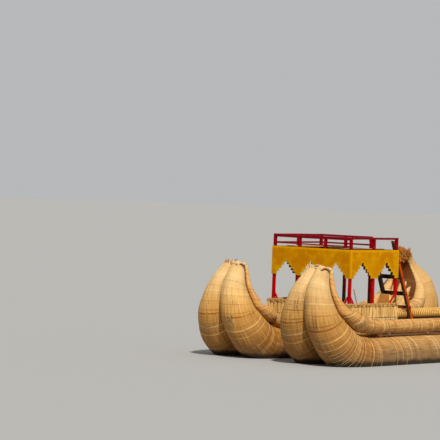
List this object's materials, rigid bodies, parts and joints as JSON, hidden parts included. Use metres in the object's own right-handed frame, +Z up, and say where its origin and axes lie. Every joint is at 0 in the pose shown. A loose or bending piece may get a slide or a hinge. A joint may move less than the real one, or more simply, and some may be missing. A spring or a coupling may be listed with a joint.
{
  "type": "twin-hull reed boat",
  "caption": "Twin-hull reed boat with upswept horned bows and sterns, a deck between the hulls and a painted open cabin with a railed upper deck reached by a ladder.",
  "frame": {"origin": "under the middle of the boat, on the plane that the four hull bundles stand on; the waterline is 0.395 m above it", "axes": "+X to the bow, +Y to port, +Z up"},
  "size_m": [9.4099, 5.43, 3.894],
  "materials": {
    "reed_bundle": "dry reed, matt, straw gold with brown streaks and darker at the waterline",
    "reed_roll": "dry reed bound with cord, slight sheen",
    "reed_heart": "golden reed, closely bound",
    "reed_wall": "upright dry reeds with a plaited top",
    "round_pole": "weathered round pole",
    "deck_timber": "bare sawn boards, worn",
    "post_red": "red gloss paint, worn at the edges",
    "board_yellow": "ochre yellow paint, slightly stained",
    "roof_timber": "dark brown stained timber",
    "rail_red": "dark red gloss paint",
    "ladder_orange": "orange-red paint on the sides, dark brown beneath",
    "seat_timber": "varnished tan boards"
  },
  "bodies": {
    "root": {"port_hull_outer_bundle": "reed_bundle", "port_hull_inner_bundle": "reed_bundle", "starboard_hull_outer_bundle": "reed_bundle", "starboard_hull_inner_bundle": "reed_bundle", "port_outer_gunwale": "reed_roll", "port_inner_gunwale": "reed_roll", "starboard_outer_gunwale": "reed_roll", "starboard_inner_gunwale": "reed_roll", "port_heart_bundle": "reed_heart", "starboard_heart_bundle": "reed_heart", "port_aft_roll": "reed_heart", "starboard_aft_roll": "reed_heart", "front_reed_wall": "reed_wall", "port_reed_wall": "reed_wall", "starboard_reed_wall": "reed_wall", "port_side_pole": "round_pole", "starboard_side_pole": "round_pole", "pole_stub": "round_pole", "deck_crossbeams": "deck_timber", "cabin_deck": "deck_timber", "aft_deck": "deck_timber", "front_posts": "post_red", "rear_posts": "post_red", "side_posts": "post_red", "post_knees": "post_red", "front_board": "board_yellow", "rear_board": "board_yellow", "port_board": "board_yellow", "starboard_board": "board_yellow", "roof_ledgers": "roof_timber", "roof_joists": "roof_timber", "roof_floor": "roof_timber", "front_top_rail": "rail_red", "rear_top_rail": "rail_red", "port_top_rail": "rail_red", "starboard_top_rail": "rail_red", "starboard_mid_rails": "rail_red", "rear_mid_rails": "rail_red", "front_mid_rails": "rail_red", "ladder_stringers": "ladder_orange", "ladder_treads": "ladder_orange", "port_seat": "seat_timber", "starboard_seat": "seat_timber", "port_upper_bench": "seat_timber", "starboard_upper_bench": "seat_timber", "seat_end_board": "seat_timber"}
  },
  "joints": []
}
